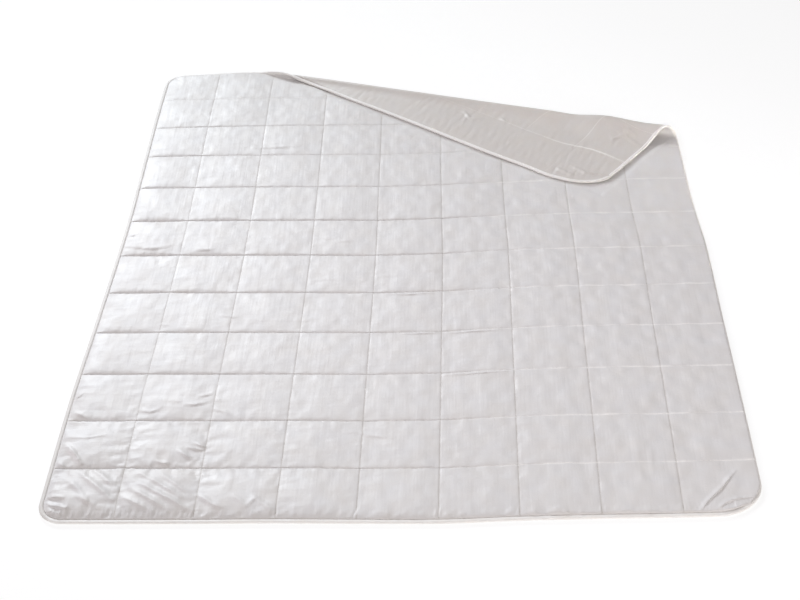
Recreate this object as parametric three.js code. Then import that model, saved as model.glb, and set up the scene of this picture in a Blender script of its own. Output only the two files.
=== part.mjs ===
// A quilted summer duvet that lies on a floor with its far right corner folded over.
// Millimetres: x runs across, y along, away from the front edge, and z up from the floor.
import * as THREE from 'three';

// Size and quilting, measured to the outer edge of the binding.
const WIDTH = 1500;
const LENGTH = 2000;
const COLUMNS = 9;
const ROWS = 12;

// Thickness: a seam's middle above the floor, what is left of the filling at a seam, and how far a cell
// swells past its seams, where it lies on the floor and where it is folded over.
const SEAM_HEIGHT = 4.5;
const SEAM_HALF = 2;
const FLOOR_CROWN = { face: 8, underside: SEAM_HEIGHT - SEAM_HALF };
const FLAP_CROWN = { face: 4, underside: 6 };
const CROWN_ROUNDNESS = 0.4;
const FLAT_SHARE = 0.4;

// Binding: an oval strip round the edge, a hair clear of the panel.
const BINDING_WIDTH = 10;
const BINDING_HEIGHT = 8;
const BINDING_SIDES = 8;
const SEAT_GAP = 0.35;

// Radius of each corner's outer edge.
const CORNER_RADIUS = { frontLeft: 58, frontRight: 98, backLeft: 62, backRight: 92 };

// How the sides lie: the shift across of the left and right sides at places along the duvet.
const SIDE_LAY = [
  { at: -1000, left: 4, right: -4 },
  { at: -600, left: 2, right: -3 },
  { at: -300, left: 8, right: -4 },
  { at: 0, left: 13, right: -4 },
  { at: 200, left: 14, right: -13 },
  { at: 500, left: 9, right: -16 },
  { at: 800, left: 5, right: -17 },
  { at: 1000, left: 6, right: -17 },
];

// How the rows lie: the shift along of the front edge, the middle and the back edge at places across.
const ROW_LAY = [
  { at: -750, front: 2, middle: 0, back: -6 },
  { at: -583, front: -1, middle: -3, back: -4 },
  { at: -417, front: -3, middle: -8, back: -2 },
  { at: -250, front: -4, middle: -13, back: -4 },
  { at: -83, front: -8, middle: -19, back: -8 },
  { at: 83, front: -11, middle: -16, back: -8 },
  { at: 250, front: -5, middle: -6, back: -4 },
  { at: 417, front: -2, middle: -2, back: 0 },
  { at: 583, front: -1, middle: -3, back: 0 },
  { at: 750, front: 3, middle: -2, back: 0 },
];

// The fold runs from a point on the back edge to a point on the right edge. The cloth turns over in a
// curl there, slopes down behind it, by at least a little, and settles at a height above the layer below.
const FOLD_BACK_X = -508;
const FOLD_SIDE_Y = 533;
const FLAP_RISE = 18;
const FLAP_SLOPE = 0.3;
const LEAST_DROP = 0.2;

// The cloth that the curl takes up, and how the flap is pushed and sheared along the fold by its settling.
const FOLD_SLACK = 32;
const FOLD_SHIFT = -25;
const FOLD_SHEAR = 0.119;
const FOLD_SETTLE = 120;

// The stretch before and past the fold's start where the curl squeezes the face's crown.
const SQUEEZE_BEFORE = 50;
const SQUEEZE_PAST = 15;

// Radius of the curl at shares of the fold's length.
const CURL = [
  { at: 0, radius: 9 },
  { at: 0.35, radius: 10 },
  { at: 0.6, radius: 11.5 },
  { at: 0.72, radius: 12.5 },
  { at: 0.84, radius: 16.5 },
  { at: 0.92, radius: 15 },
  { at: 1, radius: 17.5 },
];

// Mesh lines: shares of an inner cell, distances from the panel's edge in an edge cell, and turns of the
// curl, in radians, where the sheet is cut so that the curl comes out round.
const CELL_LINES = [0, 0.12, 0.5, 0.88];
const EDGE_LINES = [0, 16, 40, 84];
const CURL_TURNS = [0, 0.45, 0.9, 1.35, 1.8, 2.25, 2.7, 3.15, 3.6, 5, 7.5, 10];
const TURN_SNAP = 0.1;

// Satin finish.
const DUVET_COLOUR = '#eeedec';
const BINDING_COLOUR = '#e9e8e5';
const SATIN_ROUGHNESS = 0.5;

const PANEL_INSET = BINDING_WIDTH + SEAT_GAP;

// Fold frame: where it starts, its direction, the way out to the corner, and its length.
const FOLD_START = new THREE.Vector2(FOLD_BACK_X, LENGTH / 2);
const FOLD_SPAN = new THREE.Vector2(WIDTH / 2, FOLD_SIDE_Y).sub(FOLD_START);
const FOLD_LENGTH = FOLD_SPAN.length();
const FOLD_ALONG = FOLD_SPAN.clone().normalize();
const FOLD_OUT = new THREE.Vector2(-FOLD_ALONG.y, FOLD_ALONG.x);

function smoothStep(share) {
  return THREE.MathUtils.smoothstep(share, 0, 1);
}

// A table's column read at a place, along a smooth curve through its rows.
function readTable(rows, column, place) {
  const last = rows.length - 1;
  const slope = (i) => {
    const before = rows[Math.max(i - 1, 0)];
    const after = rows[Math.min(i + 1, last)];
    return (after[column] - before[column]) / (after.at - before.at);
  };
  const at = THREE.MathUtils.clamp(place, rows[0].at, rows[last].at);
  const i = Math.min(rows.findLastIndex((row) => row.at <= at), last - 1);
  const step = rows[i + 1].at - rows[i].at;
  const t = (at - rows[i].at) / step;
  const rise = t * t * (3 - 2 * t);
  const leave = t * (1 - t) * (1 - t) * step;
  const arrive = t * t * (t - 1) * step;
  const level = THREE.MathUtils.lerp(rows[i][column], rows[i + 1][column], rise);
  return level + slope(i) * leave + slope(i + 1) * arrive;
}

// Mesh lines of one axis: the panel's edges, the seams and the lines inside each cell.
function meshLines(count, size) {
  const cell = size / count;
  const edge = size / 2 - PANEL_INSET;
  const lines = EDGE_LINES.map((distance) => -edge + distance);
  lines.push(-size / 2 + cell * CELL_LINES.at(-1));
  for (let index = 1; index < count - 1; index += 1) {
    lines.push(...CELL_LINES.map((share) => -size / 2 + cell * (index + share)));
  }
  lines.push(size / 2 - cell, size / 2 - cell * CELL_LINES.at(-1));
  return lines.concat(EDGE_LINES.map((distance) => edge - distance).reverse());
}

// Share of full crown across one axis: nothing at the seams and the panel's edge, round in between.
function crownShare(place, count, size) {
  const cell = size / count;
  const edge = size / 2 - PANEL_INSET;
  const index = Math.min(Math.max(Math.floor((place + size / 2) / cell), 0), count - 1);
  const low = Math.max(-size / 2 + cell * index, -edge);
  const high = Math.min(-size / 2 + cell * (index + 1), edge);
  const share = THREE.MathUtils.clamp((place - low) / (high - low), 0, 1);
  return Math.sin(Math.PI * share) ** CROWN_ROUNDNESS;
}

// A point of the square panel moved inwards where a corner is round.
function roundCorner(across, along) {
  const side = across < 0 ? 'Left' : 'Right';
  const end = along < 0 ? 'front' : 'back';
  const radius = CORNER_RADIUS[end + side] - PANEL_INSET;
  const centreX = Math.sign(across) * (WIDTH / 2 - PANEL_INSET - radius);
  const centreY = Math.sign(along) * (LENGTH / 2 - PANEL_INSET - radius);
  const offset = new THREE.Vector2(across - centreX, along - centreY);
  if (offset.x * across <= 0 || offset.y * along <= 0) {
    return new THREE.Vector2(across, along);
  }
  const reach = Math.max(Math.abs(offset.x), Math.abs(offset.y));
  return offset.setLength(reach).add(new THREE.Vector2(centreX, centreY));
}

// The flat panel laid on the floor, as uneven as it lies.
function layOnFloor(flat) {
  const share = flat.x / WIDTH + 0.5;
  const left = readTable(SIDE_LAY, 'left', flat.y) * (1 - share) ** 2;
  const right = readTable(SIDE_LAY, 'right', flat.y) * share ** 2;
  const reach = flat.y / LENGTH + 0.5;
  const front = readTable(ROW_LAY, 'front', flat.x) * (1 - reach) * (1 - 2 * reach);
  const middle = readTable(ROW_LAY, 'middle', flat.x) * 4 * reach * (1 - reach);
  const back = readTable(ROW_LAY, 'back', flat.x) * reach * (2 * reach - 1);
  return new THREE.Vector2(flat.x + left + right, flat.y + front + middle + back);
}

// Where a point of the laid panel is in the fold: along it, past its start, and how far round the curl.
function foldPlace(laid) {
  const offset = laid.clone().sub(FOLD_START);
  const along = offset.dot(FOLD_ALONG);
  const past = offset.dot(FOLD_OUT);
  const settled = smoothStep(past / FOLD_SETTLE);
  const radius = readTable(CURL, 'radius', along / FOLD_LENGTH);
  const run = past - FOLD_SLACK * settled;
  return { along, past, settled, radius, run, turn: run / radius };
}

// The curl's section: the way out and up after a run of cloth past the fold's start, and the sheet's angle.
function curlSection(run, radius) {
  const fullTurn = Math.PI + FLAP_SLOPE;
  const drop = Math.max(radius * (1 + Math.cos(FLAP_SLOPE)) - FLAP_RISE, LEAST_DROP);
  const slopeRadius = drop / (1 - Math.cos(FLAP_SLOPE));
  const curled = THREE.MathUtils.clamp(run / radius, 0, fullTurn);
  const sloped = THREE.MathUtils.clamp((run - radius * fullTurn) / slopeRadius, 0, FLAP_SLOPE);
  const level = Math.max(run - radius * fullTurn - slopeRadius * FLAP_SLOPE, 0);
  const remaining = FLAP_SLOPE - sloped;
  const out = Math.min(run, 0) + radius * Math.sin(curled) - level
    - slopeRadius * (Math.sin(FLAP_SLOPE) - Math.sin(remaining));
  const up = radius * (1 - Math.cos(curled)) - slopeRadius * (Math.cos(remaining) - Math.cos(FLAP_SLOPE));
  return { out, up, angle: curled - sloped };
}

// The middle of the sheet at a point of the square panel, its upward side and its crown on both faces.
function sheetPoint(across, along) {
  const fold = foldPlace(layOnFloor(roundCorner(across, along)));
  const curl = curlSection(fold.run, fold.radius);
  const slide = fold.along + fold.settled * (FOLD_SHIFT + FOLD_SHEAR * fold.past);
  const ground = FOLD_START.clone().addScaledVector(FOLD_ALONG, slide).addScaledVector(FOLD_OUT, curl.out);
  const lean = FOLD_OUT.clone().multiplyScalar(-Math.sin(curl.angle));
  const crown = crownShare(across, COLUMNS, WIDTH) * crownShare(along, ROWS, LENGTH);
  const squeezed = smoothStep((fold.past + SQUEEZE_BEFORE) / (SQUEEZE_BEFORE + SQUEEZE_PAST));
  const face = THREE.MathUtils.lerp(FLOOR_CROWN.face, FLAP_CROWN.face, squeezed);
  const underside = THREE.MathUtils.lerp(FLOOR_CROWN.underside, FLAP_CROWN.underside, fold.settled);
  const flatCrown = Math.min(crown / FLAT_SHARE, 1);
  return {
    middle: new THREE.Vector3(ground.x, ground.y, SEAM_HEIGHT + curl.up),
    normal: new THREE.Vector3(lean.x, lean.y, Math.cos(curl.angle)),
    face: SEAM_HALF + face * crown,
    underside: SEAM_HALF + underside * THREE.MathUtils.lerp(flatCrown, crown, fold.settled),
  };
}

// A mesh corner: its place on the square panel and how far round the curl it lies.
function meshCorner(across, along) {
  const { turn } = foldPlace(layOnFloor(roundCorner(across, along)));
  return { across, along, turn };
}

// Polygons cut in two where the turn of the curl passes a value. Neighbours share the new corners.
function cutAtTurn(polygons, corners, turn) {
  const made = new Map();
  const sideOf = (index) => {
    const beyond = corners[index].turn - turn;
    return Math.abs(beyond) < TURN_SNAP ? 0 : Math.sign(beyond);
  };
  const cornerBetween = (i, j) => {
    const name = [Math.min(i, j), Math.max(i, j)].join(' ');
    if (!made.has(name)) {
      const share = (turn - corners[i].turn) / (corners[j].turn - corners[i].turn);
      const across = THREE.MathUtils.lerp(corners[i].across, corners[j].across, share);
      const along = THREE.MathUtils.lerp(corners[i].along, corners[j].along, share);
      made.set(name, corners.push(meshCorner(across, along)) - 1);
    }
    return made.get(name);
  };
  return polygons.flatMap((polygon) => {
    const sides = polygon.map(sideOf);
    if (!sides.includes(-1) || !sides.includes(1)) {
      return [polygon];
    }
    const before = [];
    const after = [];
    polygon.forEach((corner, k) => {
      const next = (k + 1) % polygon.length;
      if (sides[k] <= 0) {
        before.push(corner);
      }
      if (sides[k] >= 0) {
        after.push(corner);
      }
      if (sides[k] * sides[next] < 0) {
        const between = cornerBetween(corner, polygon[next]);
        before.push(between);
        after.push(between);
      }
    });
    return [before, after];
  });
}

// The panel's mesh: corners and triangles, cut along the curl.
function panelMesh() {
  const acrossLines = meshLines(COLUMNS, WIDTH);
  const alongLines = meshLines(ROWS, LENGTH);
  const corners = alongLines.flatMap((along) => acrossLines.map((across) => meshCorner(across, along)));
  let polygons = [];
  for (let row = 0; row < alongLines.length - 1; row += 1) {
    for (let column = 0; column < acrossLines.length - 1; column += 1) {
      const first = row * acrossLines.length + column;
      const above = first + acrossLines.length;
      polygons.push([first, first + 1, above + 1, above]);
    }
  }
  CURL_TURNS.forEach((turn) => {
    polygons = cutAtTurn(polygons, corners, turn);
  });
  const points = corners.map(({ across, along }) => sheetPoint(across, along));
  const reach = (i, j) => points[i].middle.distanceTo(points[j].middle);
  const triangles = polygons.flatMap((polygon) => {
    const [a, b, c, d] = polygon;
    const turned = polygon.length === 4 && reach(b, d) < reach(a, c);
    const fan = turned ? [b, c, d, a] : polygon;
    return fan.slice(2).map((corner, k) => [fan[0], fan[k + 1], corner]);
  });
  return { points, triangles };
}

// The panel's edge as one ring of corners, with the panel on its left.
function edgeRing(triangles) {
  const edges = triangles.flatMap(([a, b, c]) => [[a, b], [b, c], [c, a]]);
  const known = new Set(edges.map((edge) => edge.join(' ')));
  const next = new Map(edges.filter(([from, to]) => !known.has([to, from].join(' '))));
  const ring = [next.keys().next().value];
  while (next.get(ring.at(-1)) !== ring[0]) {
    ring.push(next.get(ring.at(-1)));
  }
  return ring;
}

function solidGeometry(vertices, triangles) {
  const geometry = new THREE.BufferGeometry();
  geometry.setFromPoints(vertices);
  geometry.setIndex(triangles.flat());
  geometry.computeVertexNormals();
  return geometry;
}

// The filled duvet: both faces of the panel, joined by the side wall along its edge.
function duvetGeometry({ points, triangles }, ring) {
  const raised = ({ middle, normal }, height) => middle.clone().addScaledVector(normal, height);
  const above = points.map((point) => raised(point, point.face));
  const below = points.map((point) => raised(point, -point.underside));
  const count = points.length;
  const lower = triangles.map(([a, b, c]) => [a + count, c + count, b + count]);
  const wall = ring.flatMap((corner, k) => {
    const next = ring[(k + 1) % ring.length];
    return [[corner, corner + count, next + count], [corner, next + count, next]];
  });
  return solidGeometry([...above, ...below], [...triangles, ...lower, ...wall]);
}

// The binding: an oval strip swept round the panel's edge, a seat gap outside it.
function bindingGeometry({ points }, ring) {
  const centre = SEAT_GAP + BINDING_WIDTH / 2;
  const stretch = 1 / Math.cos(Math.PI / BINDING_SIDES);
  const vertices = ring.flatMap((corner, k) => {
    const { middle, normal } = points[corner];
    const ahead = points[ring[(k + 1) % ring.length]].middle;
    const behind = points[ring.at(k - 1)].middle;
    const outward = ahead.clone().sub(behind).cross(normal).normalize();
    return Array.from({ length: BINDING_SIDES }, (_, side) => {
      const angle = (2 * Math.PI * (side + 0.5)) / BINDING_SIDES;
      const out = centre + 0.5 * BINDING_WIDTH * stretch * Math.cos(angle);
      const up = 0.5 * BINDING_HEIGHT * stretch * Math.sin(angle);
      return middle.clone().addScaledVector(outward, out).addScaledVector(normal, up);
    });
  });
  const triangles = ring.flatMap((_, k) => Array.from({ length: BINDING_SIDES }, (_, side) => {
    const here = k * BINDING_SIDES;
    const there = ((k + 1) % ring.length) * BINDING_SIDES;
    const nextSide = (side + 1) % BINDING_SIDES;
    const ahead = [here + side, there + side, there + nextSide];
    const behind = [here + side, there + nextSide, here + nextSide];
    return [ahead, behind];
  }).flat());
  return solidGeometry(vertices, triangles);
}

function namedMesh(name, geometry, color) {
  const material = new THREE.MeshStandardMaterial({ color, roughness: SATIN_ROUGHNESS, metalness: 0 });
  const mesh = new THREE.Mesh(geometry, material);
  mesh.name = name;
  return mesh;
}

const panel = panelMesh();
const ring = edgeRing(panel.triangles);
const part = new THREE.Group();
part.add(namedMesh('duvet', duvetGeometry(panel, ring), DUVET_COLOUR));
part.add(namedMesh('binding', bindingGeometry(panel, ring), BINDING_COLOUR));

// The origin is the middle of the part's box, on the floor.
const middle = new THREE.Box3().setFromObject(part).getCenter(new THREE.Vector3());
part.position.set(-middle.x, -middle.y, 0);

export default part;
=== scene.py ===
# The quilted summer duvet as it lies on a pale floor, with its far right corner folded over.
# Metres: x runs across, y along, away from the front edge, and z up from the floor.
import math

import bpy
import numpy as np
from mathutils import Matrix, Vector


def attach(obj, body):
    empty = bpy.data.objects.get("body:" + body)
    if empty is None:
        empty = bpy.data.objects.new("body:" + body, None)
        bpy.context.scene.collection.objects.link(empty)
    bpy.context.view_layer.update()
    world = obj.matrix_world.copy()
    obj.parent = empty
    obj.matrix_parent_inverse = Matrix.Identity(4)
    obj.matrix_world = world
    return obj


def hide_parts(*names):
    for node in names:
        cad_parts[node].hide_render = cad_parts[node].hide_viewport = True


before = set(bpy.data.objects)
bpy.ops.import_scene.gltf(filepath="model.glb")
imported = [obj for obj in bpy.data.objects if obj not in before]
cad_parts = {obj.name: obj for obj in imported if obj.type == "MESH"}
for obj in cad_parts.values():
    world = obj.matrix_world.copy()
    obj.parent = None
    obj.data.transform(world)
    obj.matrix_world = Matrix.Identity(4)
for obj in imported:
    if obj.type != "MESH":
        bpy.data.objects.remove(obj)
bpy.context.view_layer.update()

# Size and quilting, measured to the outer edge of the binding
WIDTH = 1.5
LENGTH = 2.0
COLUMNS = 9
ROWS = 12
CELL = LENGTH / ROWS

# Thickness: a seam's middle above the floor, half of what is left of the filling at a seam and at the edge,
# and how far in the edge is thicker
SEAM_HEIGHT = 0.0045
SEAM_HALF = 0.002
EDGE_HALF = 0.0040
EDGE_REACH = 0.006

# Crown of a cell on its face and its underside, the face's height from which the underside is full,
# how unevenly the cells are filled, the share left at the right side, and the share that is a dome
FACE_CROWN = 0.007
UNDERSIDE_CROWN = SEAM_HEIGHT - SEAM_HALF
FLAT_CROWN = 0.003
CROWN_SPREAD = 0.06
FILLING_WAVE = 2 * CELL
RIGHT_CROWN = 0.75
CROWN_DOME = 0.2

# Share of the crown left on both sides of the flap, and beneath it from a little before its edge
FLAP_FACE_SHARE = 0.22
FLAP_UNDERSIDE_SHARE = 0.12
PRESSED_CROWN = 0.58
PRESS_BEFORE = 0.010
PRESS_REACH = 0.012

# Seams along: how gently the cells on their two sides rise, and how much of the crown they take away
ALONG_LIT_RISE = 0.0035
ALONG_RISE = 0.0013
LEFT_ALONG_DEPTH = 0.08
RIGHT_ALONG_DEPTH = 0.20

# How gently the face rises from the left edge and from the others, how much the front cells swell
# at the left, and how narrow the walls of the seams across are where they meet the seams along
LEFT_EDGE_RISE = 0.0090
SIDE_EDGE_RISE = 0.0040
FRONT_EDGE_SWELL = 0.5
WALL_TAPER = 0.22

# Seams across: at a place across, how much of the crown they take away, and how gently the cell behind
# and the cell before rise from them
ROW_SEAMS = (
    (-0.750, 0.90, 0.0036, 0.0022),
    (-0.583, 0.74, 0.0032, 0.0022),
    (-0.417, 0.58, 0.0028, 0.0023),
    (-0.250, 0.52, 0.0025, 0.0024),
    (-0.083, 0.47, 0.0023, 0.0026),
    (0.083, 0.42, 0.0022, 0.0028),
    (0.250, 0.25, 0.0022, 0.0030),
    (0.417, 0.11, 0.0026, 0.0030),
    (0.583, 0.08, 0.0030, 0.0030),
    (0.750, 0.08, 0.0030, 0.0030),
)

# How gently the face rises from the front edge, at a place across
FRONT_EDGE_RISE = (
    (-0.75, 0.016),
    (-0.50, 0.013),
    (-0.25, 0.009),
    (0.00, 0.006),
    (0.40, 0.003),
    (0.75, 0.003),
)

# How much deeper or shallower the seams across are at a place along
ROW_SEAM_SHARES = (
    (-1.0, 0.95),
    (-0.5, 1.0),
    (-0.2, 1.1),
    (0.0, 1.3),
    (0.2, 1.2),
    (0.35, 0.75),
    (0.6, 0.55),
    (0.72, 0.5),
    (0.833, 0.2),
    (1.0, 0.2),
)

# The right side swells out over the binding: how much, how soon, and how far in
OVERHANG = 0.014
OVERHANG_START = 0.002
OVERHANG_REACH = 0.020

# How the walls beside the seams waver: how closely, how unlike two seams are, how much, within which limits,
# and over how many of the rows at the front it eases
PUCKER_WAVE = 0.015
SEAM_APART = 3.7
COLUMN_WOBBLE = 0.35
FRONT_ROW_WOBBLE = 0.35
ROW_WOBBLE = 0.12
EDGE_WOBBLE = 0.12
LEAST_WOBBLE = 0.3
MOST_WOBBLE = 2.0
FRONT_WOBBLE_REACH = 3 * CELL

# Close gathers along the front edge: how close, how high at the left and the right, and where
FRONT_PUCKER_WAVE = 0.010
FRONT_PUCKER_HEIGHT = 0.0008
RIGHT_PUCKER_HEIGHT = FRONT_PUCKER_HEIGHT / 3
FRONT_PUCKER_PLACE = 0.008
FRONT_PUCKER_REACH = 0.014

# Unevenness of the whole face: soft swells, how much higher they are at the right, and faint streaks along
SWELL_WAVE = 0.065
SWELL_HEIGHT = 0.0001
RIGHT_SWELL = 5.0
STREAK_WAVE = 0.022
STREAK_LENGTHENING = 0.15
STREAK_HEIGHT = 0.00005

# Smooth noise: how many waves it sums, and their least and most pace
NOISE_WAVES = 14
NOISE_PACES = (0.6, 1.6)

# Binding: an oval strip round the edge, a hair clear of the panel, and the painted shade along its left side
BINDING_WIDTH = 0.010
BINDING_HEIGHT = 0.0064
BINDING_SIDES = 18
BINDING_SQUARENESS = 0.55
SEAT_GAP = 0.00035
LEFT_BINDING_SHADE = 0.5
LEFT_BINDING_PLACE = -0.715
PANEL_INSET = BINDING_WIDTH + SEAT_GAP

# Radius of each corner's outer edge
FRONT_LEFT_RADIUS = 0.058
FRONT_RIGHT_RADIUS = 0.098
BACK_LEFT_RADIUS = 0.062
BACK_RIGHT_RADIUS = 0.092

# How the sides lie: at a place along, the shift across of the left and the right side
SIDE_LAY = (
    (-1.0, 0.004, -0.004),
    (-0.6, 0.002, -0.003),
    (-0.3, 0.008, -0.004),
    (0.0, 0.013, -0.004),
    (0.2, 0.014, -0.013),
    (0.5, 0.009, -0.016),
    (0.8, 0.005, -0.017),
    (1.0, 0.006, -0.017),
)

# How the rows lie: at a place across, the shift along of the front edge, the middle and the back edge
ROW_LAY = (
    (-0.750, 0.002, 0.000, -0.006),
    (-0.583, -0.001, -0.003, -0.004),
    (-0.417, -0.003, -0.008, -0.002),
    (-0.250, -0.004, -0.013, -0.004),
    (-0.083, -0.008, -0.019, -0.008),
    (0.083, -0.011, -0.016, -0.008),
    (0.250, -0.005, -0.006, -0.004),
    (0.417, -0.002, -0.002, 0.000),
    (0.583, -0.001, -0.003, 0.000),
    (0.750, 0.003, -0.002, 0.000),
)

# How the seams stray: at a place across, the shift across at the front, the middle and the back,
# and at a place along, the shift along
COLUMN_LAY = (
    (-0.750, 0.000, 0.000, 0.000),
    (-0.583, -0.002, -0.0035, -0.006),
    (-0.417, -0.004, -0.003, -0.008),
    (-0.250, -0.002, 0.0005, -0.007),
    (-0.083, -0.002, 0.0005, -0.007),
    (0.083, 0.000, 0.003, -0.005),
    (0.250, -0.001, 0.002, -0.003),
    (0.417, -0.001, 0.003, 0.003),
    (0.583, -0.002, 0.001, 0.003),
    (0.750, 0.000, 0.000, 0.000),
)
SEAM_STRAY = (
    (-1.000, 0.000),
    (-0.833, 0.001),
    (-0.667, -0.004),
    (-0.500, -0.001),
    (-0.333, -0.005),
    (-0.167, -0.005),
    (0.000, -0.005),
    (0.167, -0.007),
    (0.333, -0.006),
    (0.500, -0.002),
    (0.667, -0.003),
    (0.833, -0.001),
    (1.000, 0.000),
)

# The fold: where it starts and ends, how high the flap settles, how steeply it comes down,
# and how much of the cloth beyond it curls over at its start, and from where on all of it
FOLD_START = np.array([-0.508, LENGTH / 2])
FOLD_END = np.array([WIDTH / 2, 0.533])
FLAP_RISE = 0.0100
FLAP_SLOPE = 0.45
LEAST_DROP = 0.0002
FOLD_SLACK = 0.028
FOLD_SHIFT = -0.025
FOLD_SHEAR = 0.119
FOLD_SETTLE = 0.120
START_SHARE = 0.35
START_EASE = 0.40
SQUEEZE_BEFORE = 0.050
SQUEEZE_PAST = 0.015
FOLD_LENGTH = np.linalg.norm(FOLD_END - FOLD_START)
FOLD_ALONG = (FOLD_END - FOLD_START) / FOLD_LENGTH
FOLD_OUT = np.array([-FOLD_ALONG[1], FOLD_ALONG[0]])

# The back edge is raised beside the fold's start: where, how far to each side, how far in, and how high
LIFT_PLACE = -0.50
LIFT_HALF = 0.20
LIFT_REACH = 0.045
LIFT_HEIGHT = 0.005

# Radius of the curl at shares of the fold's length
CURL = (
    (0.0, 0.0064),
    (0.15, 0.0080),
    (0.35, 0.0095),
    (0.6, 0.0115),
    (0.72, 0.0128),
    (0.77, 0.0126),
    (0.84, 0.0180),
    (0.92, 0.0160),
    (1.0, 0.0190),
)

# Creases of the face: height, width, then the columns and rows that the ridge passes
CREASES = (
    (0.0031, 0.0050, (0.10, 2.20), (0.30, 2.06)),
    (0.0020, 0.0037, (0.06, 2.45), (0.17, 2.56)),
    (0.0024, 0.0050, (1.02, 2.22), (1.15, 2.18), (1.27, 2.23)),
    (0.0024, 0.0050, (1.63, 2.32), (1.75, 2.33), (1.88, 2.37)),
    (0.0019, 0.0043, (1.78, 2.50), (1.94, 2.56)),
    (0.0012, 0.0074, (1.33, 2.42), (1.60, 2.38)),
    (0.0026, 0.0050, (2.02, 2.24), (2.14, 2.20), (2.22, 2.13)),
    (0.0012, 0.0031, (0.13, 1.63), (0.38, 1.59), (0.64, 1.65)),
    (0.0056, 0.0062, (0.14, 1.48), (0.28, 1.28), (0.40, 1.08)),
    (0.0030, 0.0043, (0.08, 1.12), (0.20, 1.03)),
    (0.0035, 0.0050, (1.66, 1.33), (1.82, 1.19)),
    (0.0030, 0.0043, (1.86, 1.50), (1.99, 1.42)),
    (0.0024, 0.0043, (1.78, 1.40), (1.96, 1.37)),
    (0.0030, 0.0043, (1.40, 1.12), (1.54, 1.07)),
    (0.0011, 0.0062, (1.10, 1.40), (1.25, 1.55)),
    (0.0040, 0.0043, (0.04, 0.46), (0.18, 0.44), (0.30, 0.40)),
    (0.0045, 0.0043, (0.05, 0.34), (0.20, 0.29), (0.36, 0.22)),
    (0.0035, 0.0043, (0.10, 0.22), (0.30, 0.13)),
    (0.0040, 0.0074, (0.38, 0.95), (0.67, 0.64), (0.93, 0.38)),
    (0.0035, 0.0074, (0.20, 0.85), (0.45, 0.58), (0.60, 0.36)),
    (0.0030, 0.0068, (0.60, 0.98), (0.83, 0.72), (0.98, 0.56)),
    (0.0025, 0.0062, (0.45, 0.45), (0.70, 0.28)),
    (0.0040, 0.0062, (1.13, 0.76), (1.53, 0.47), (1.95, 0.19)),
    (0.0032, 0.0056, (1.22, 0.88), (1.50, 0.66), (1.80, 0.42)),
    (0.0035, 0.0056, (1.10, 0.60), (1.35, 0.42), (1.62, 0.22)),
    (0.0024, 0.0050, (1.50, 0.85), (1.70, 0.66), (1.90, 0.48)),
    (0.0028, 0.0050, (1.06, 0.42), (1.25, 0.30), (1.40, 0.20)),
    (0.0039, 0.0056, (2.02, 0.47), (2.18, 0.32), (2.32, 0.23)),
    (0.0020, 0.0043, (2.45, 0.45), (2.56, 0.33), (2.62, 0.24)),
    (0.0019, 0.0043, (2.72, 0.42), (2.64, 0.25)),
    (0.0022, 0.0050, (2.69, 0.43), (2.85, 0.28), (2.98, 0.15)),
    (0.0026, 0.0050, (0.08, 6.27), (0.30, 6.22), (0.55, 6.18), (0.80, 6.24)),
    (0.0020, 0.0037, (0.10, 6.57), (0.22, 6.60)),
    (0.0028, 0.0043, (1.25, 6.14), (1.50, 6.13)),
    (0.0019, 0.0043, (1.85, 4.41), (2.08, 4.36)),
    (0.0019, 0.0037, (0.99, 4.19), (1.09, 4.17)),
    (0.0019, 0.0050, (1.85, 9.25), (2.20, 9.24), (2.60, 9.28)),
    (0.0014, 0.0056, (3.87, 1.77), (4.37, 1.61)),
    (0.0010, 0.0032, (3.05, 6.46), (3.43, 6.46)),
    (0.0013, 0.0032, (3.15, 6.35), (3.51, 6.38), (3.90, 6.35)),
    (0.0012, 0.0032, (4.02, 5.42), (4.32, 5.43)),
    (0.0012, 0.0032, (4.72, 5.54), (4.92, 5.51)),
    (0.0008, 0.0040, (2.98, 5.28), (3.34, 5.34), (3.88, 5.29)),
    (0.0022, 0.0040, (4.15, 4.96), (4.50, 4.94), (4.85, 4.96)),
    (0.0018, 0.0036, (4.42, 3.96), (4.97, 3.97)),
    (0.0020, 0.0036, (5.07, 3.95), (5.40, 3.96), (5.83, 3.97)),
    (0.0020, 0.0036, (5.05, 2.95), (5.40, 2.96), (5.90, 2.97)),
    (0.0028, 0.0037, (8.18, 0.07), (8.29, 0.25), (8.48, 0.48), (8.69, 0.79)),
    (0.0024, 0.0035, (8.38, 0.08), (8.51, 0.22), (8.64, 0.28), (8.79, 0.31)),
    (0.0020, 0.0033, (8.45, 0.08), (8.70, 0.14)),
    (0.0008, 0.0050, (7.51, 1.43), (7.52, 1.02)),
    (0.0008, 0.0050, (7.52, 0.96), (7.54, 0.64)),
    (0.0008, 0.0050, (7.70, 1.32), (7.67, 0.73)),
    (0.0014, 0.0037, (6.52, 0.19), (6.57, 0.04)),
    (0.0014, 0.0037, (7.55, 0.14), (7.60, 0.04)),
    (0.0012, 0.0037, (7.72, 0.17), (7.80, 0.13)),
    (0.0010, 0.0050, (5.77, 1.25), (5.95, 1.07)),
)

# Creases of the underside, which shows on the flap
FLAP_CREASES = (
    (0.0012, 0.0030, (7.43, 11.03), (8.14, 10.99), (8.96, 10.96)),
    (0.0024, 0.0040, (5.83, 11.14), (5.98, 11.24), (6.06, 11.29)),
    (0.0020, 0.0040, (6.02, 11.25), (6.23, 11.15)),
    (0.0020, 0.0040, (6.45, 10.94), (6.61, 11.00)),
    (0.0030, 0.0040, (8.33, 10.42), (8.44, 10.50), (8.52, 10.28)),
    (0.0036, 0.0045, (8.26, 10.20), (8.55, 10.28), (8.84, 10.36)),
    (0.0033, 0.0040, (8.35, 10.05), (8.70, 10.17)),
    (0.0036, 0.0045, (8.30, 11.60), (8.60, 11.68), (8.90, 11.50)),
    (0.0030, 0.0040, (8.10, 11.74), (8.45, 11.84)),
)

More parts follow.
